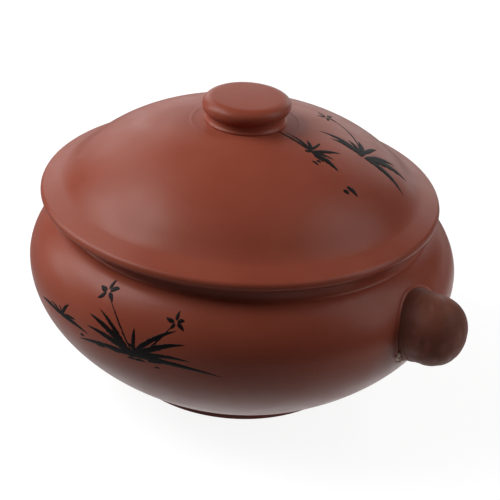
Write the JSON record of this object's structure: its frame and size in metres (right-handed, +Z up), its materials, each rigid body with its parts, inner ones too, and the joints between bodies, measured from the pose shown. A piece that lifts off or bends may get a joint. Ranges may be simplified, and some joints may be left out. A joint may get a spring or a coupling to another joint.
{
  "type": "steam stew pot",
  "caption": "Squat unglazed stoneware stewing pot with stub lugs, low foot ring, loose domed lid with button knob, and a steam chimney inside.",
  "frame": {"origin": "centre of the foot ring's underside, on the surface that the pot stands on", "axes": "+Z up along the pot's axis of turning, +X through the right-hand lug, +Y towards the back"},
  "size_m": [0.2654, 0.22, 0.1507],
  "materials": {
    "red_clay": "satin",
    "dark_clay": "satin"
  },
  "bodies": {
    "pot": {"pot_body": "red_clay", "base_disc": "red_clay", "foot_ring": "red_clay", "mouth_ring": "red_clay", "steam_chimney": "red_clay", "lug_right": "dark_clay", "lug_left": "dark_clay", "lug_ridge_right": "red_clay", "lug_ridge_left": "red_clay"},
    "lid": {"lid_brim": "red_clay", "lid_dome": "red_clay", "lid_locating_ring": "red_clay", "knob_pedestal": "red_clay", "knob_button": "red_clay"}
  },
  "joints": [
    {"name": "lid_lift", "type": "slide", "parent": "pot", "child": "lid", "axis": [0, 0, 1], "range_m": [0, 0.12]}
  ]
}
